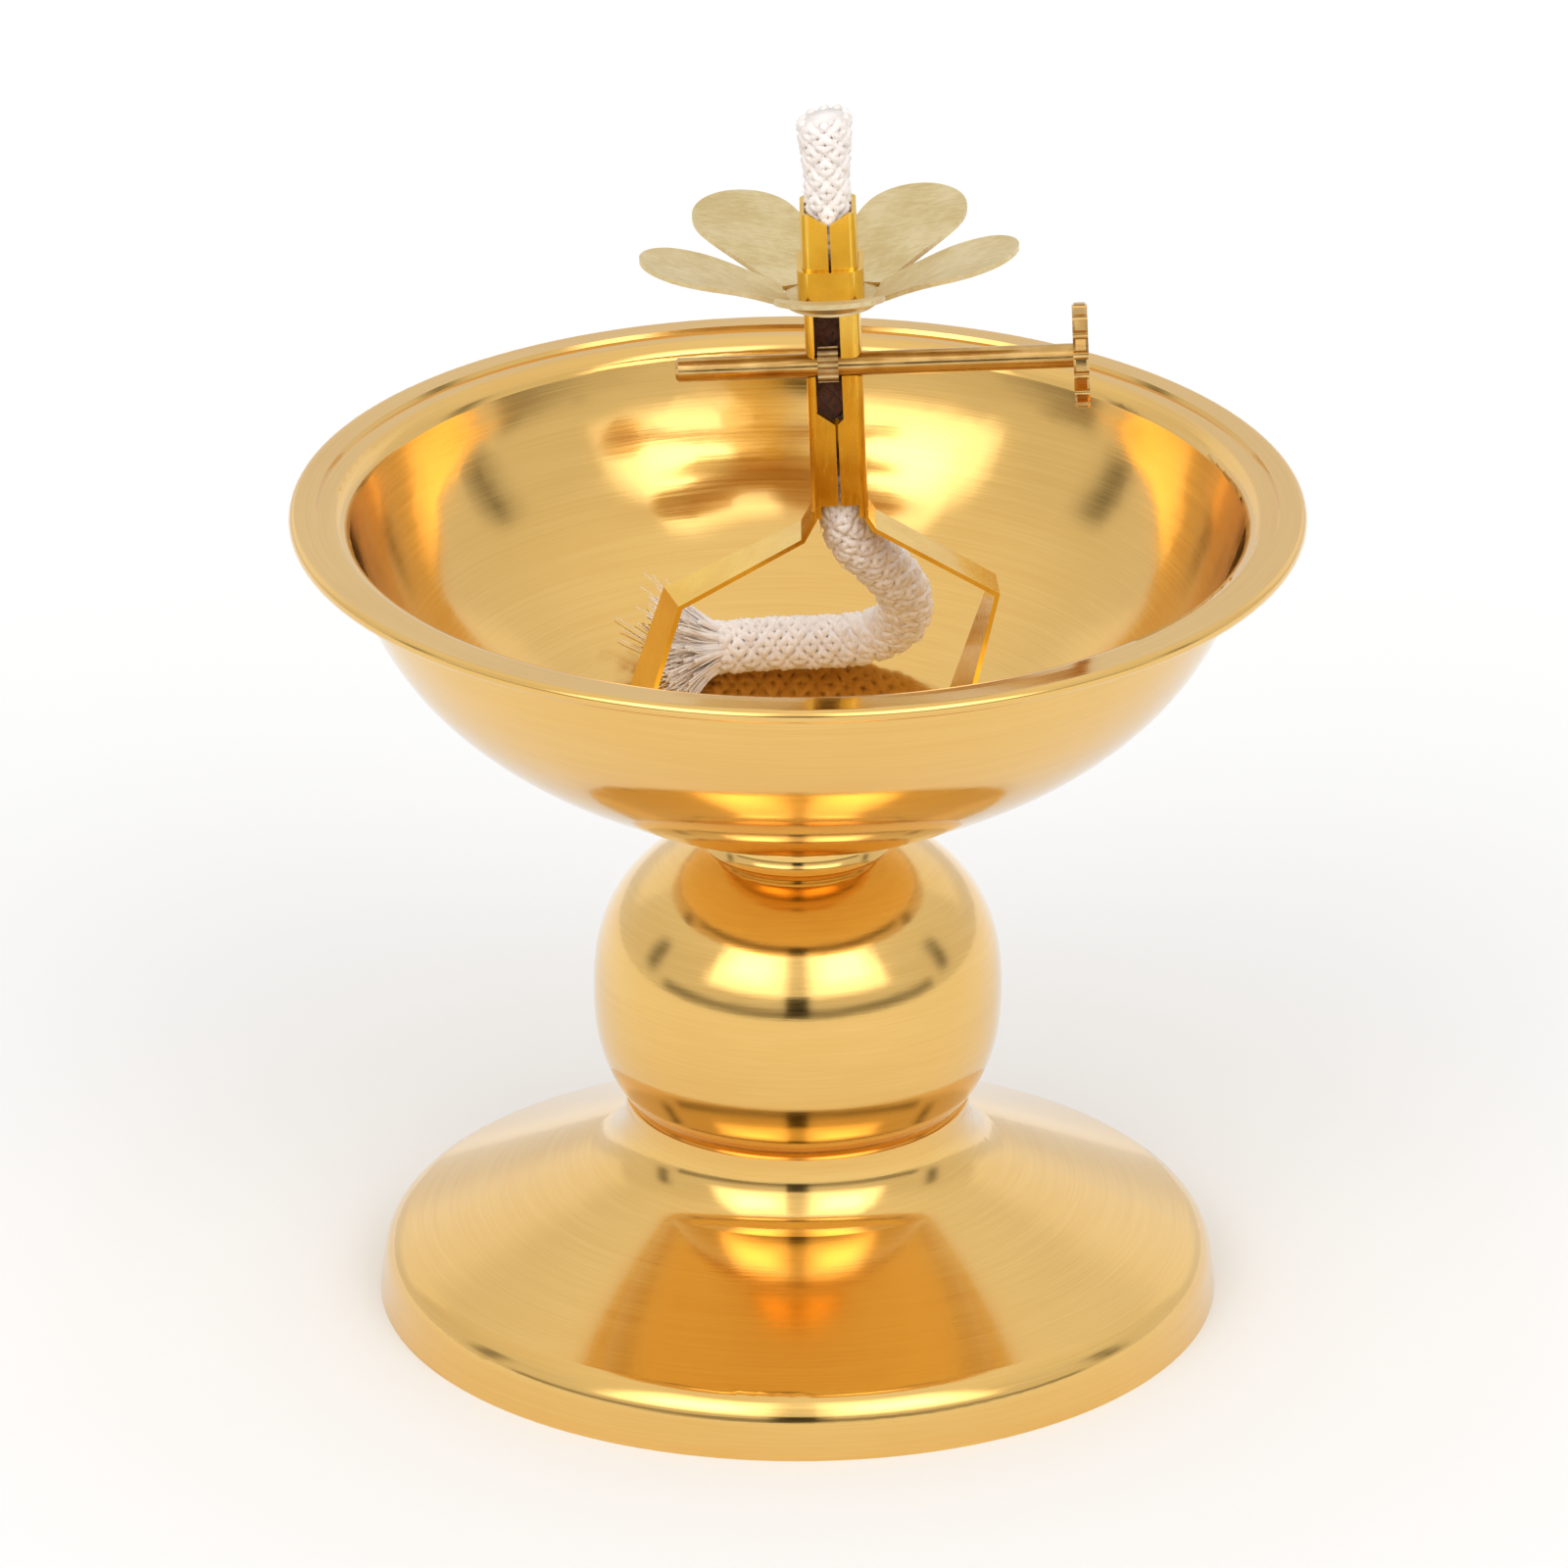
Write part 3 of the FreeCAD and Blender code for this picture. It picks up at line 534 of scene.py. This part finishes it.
def add_fibre(mesh, surface, draw, k):
    """A loose fibre that lies over the braid and lifts a little from it."""
    turn, drift = draw.uniform(0, 2 * math.pi), draw.uniform(-0.5, 0.5)
    lift = draw.uniform(0.1, 0.35) * MM
    begin = surface(k, turn, -0.3 * YARN_RADIUS)
    middle = surface(k, turn + 0.5 * drift, 0.5 * lift)
    along = surface(k + 1, turn, 0) - surface(k - 1, turn, 0)
    end = surface(k, turn + drift, lift) + along * draw.uniform(-1, 1)
    add_tube(mesh, [begin, middle, end], [FIBRE_RADIUS] * 3, 3)


def bowl_floor(radius):
    """Height of the bowl's inner surface near its middle, at a radius."""
    outside = max(0, radius / MM - FLOOR_FLAT_RADIUS)
    return (FLOOR_HEIGHT + FLOOR_SLOPE * outside + FLOOR_CURVE * outside ** 2) * MM


def fray(name, root, heading, seed):
    """Loose yarns and fibres that fan out of the wick's cut end."""
    draw = random.Random(seed)
    mesh = bmesh.new()
    side = heading.cross(Vector((0, 0, 1))).normalized()
    up = side.cross(heading).normalized()
    groups = [(64, 7.5, 0.44, 0.95), (260, 9.0, 0.15, 1.2), (40, 12.0, 0.07, 1.6)]
    for count, reach, thick, spread in groups:
        for _ in range(count):
            turn = draw.uniform(0, 2 * math.pi)
            rim = math.sqrt(draw.random())
            begin = root - heading * (1.6 * MM)
            begin += (side * math.cos(turn) + up * math.sin(turn)) * (rim * 1.9 * MM)
            fan = (side * math.cos(turn) * 0.9 + up * math.sin(turn) * 0.75) * (rim * spread)
            stray = [draw.uniform(-limit, limit) for limit in (0.25, 0.25, 0.2)]
            fan += Vector(stray)
            length = reach * MM * draw.uniform(0.55, 1.0)
            curl = Vector((draw.uniform(-1, 1), draw.uniform(-1, 1), draw.uniform(-0.6, 1))) * 0.35
            steps = 9
            centres, radii = [begin], [thick * MM]
            for step in range(1, steps + 1):
                share = step / steps
                open_way = heading + fan * min(1, share * 1.6) + curl * share * share
                nxt = centres[-1] + open_way.normalized() * (length / steps)
                nxt.z = max(nxt.z, bowl_floor(math.hypot(nxt.x, nxt.y)) + (thick + 0.1) * MM)
                centres.append(nxt)
                radii.append(thick * MM * (1 - 0.45 * share))
            add_tube(mesh, centres, radii, 6 if thick > 0.3 else 4)
    return finish_mesh(name, mesh)


def add_tail():
    """The wick's free tail: braid from inside the tube to the bowl's floor, with a frayed end."""
    line = even_line(smooth_line([Vector(p) * MM for p in TAIL_ROUTE]), BRAID_STEP)
    radii = []
    for place in line:
        below = (TAIL_EXIT.z - place.z) / (5 * MM)
        free = min(1, max(0, below))
        radii.append(TAIL_IN_TUBE_RADIUS + (TAIL_RADIUS - TAIL_IN_TUBE_RADIUS) * free)
    tail = braid("wick_tail_braid", line, Vector((1, 0, 0)), radii, radii, [0] * len(line), 11)
    frayed = fray("wick_tail_fray", line[-1], (line[-1] - line[-4]).normalized(), 5)
    for piece in (tail, frayed):
        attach(piece, "holder")
    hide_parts("wick_tail")
    return [tail, frayed]


def cut_end(mesh_object, along, top, reach):
    """Slants the wick's upper end, which scissors cut across."""
    for vertex in mesh_object.data.vertices:
        near = (vertex.co.dot(along) - top + reach) / reach
        if near > 0:
            vertex.co += along * (near * CUT_SLANT * (vertex.co.x - JOINTS["adjuster_turn"]["pos_m"][0]))


def add_feed():
    """The wick in the tube: pressed flat behind the wheel, as wide as the bore, round at its top."""
    along = Vector(JOINTS["wick_travel"]["axis"])
    shaft = Vector(JOINTS["adjuster_turn"]["pos_m"])
    shaft.y = 0
    foot = shaft - along * TUBE_FOOT_BELOW_SHAFT
    top = (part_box("wick_feed")[1].z - 0.3 * MM - foot.z) / along.z
    line = even_line([foot + along * FEED_BOTTOM, foot + along * top], BRAID_STEP)
    widths, depths, shifts = [], [], []
    for place in line:
        height = (place - foot).dot(along)
        flat = min(1, max(0, (FLAT_TOP + 3 * MM - height) / (3 * MM)))
        free = min(1, max(0, (height - TUBE_MOUTH - FREE_ABOVE_MOUTH) / (4 * MM)))
        widths.append(BORE_HALF + (FEED_RADIUS - BORE_HALF) * free)
        depths.append(widths[-1] + (FLAT_HALF - BORE_HALF) * flat)
        shifts.append(FLAT_SHIFT * flat)
    feed = braid("wick_feed_braid", line, Vector((1, 0, 0)), widths, depths, shifts, 23)
    cut_end(feed, along, foot.dot(along) + top, 2.5 * MM)
    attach(feed, "wick")
    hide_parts("wick_feed")
    return [feed]


# ---- build ------------------------------------------------------------------------------------
add_camera()
add_floor()
add_tent()
MATERIALS = {make.__name__: make() for make in [spun_brass, sheet_brass, petal_brass, rod_brass,
                                                raw_brass, plated_steel, wick_cotton]}
finish_nodes(MATERIALS)
for piece in add_tail() + add_feed():
    piece.data.materials.append(MATERIALS["wick_cotton"])
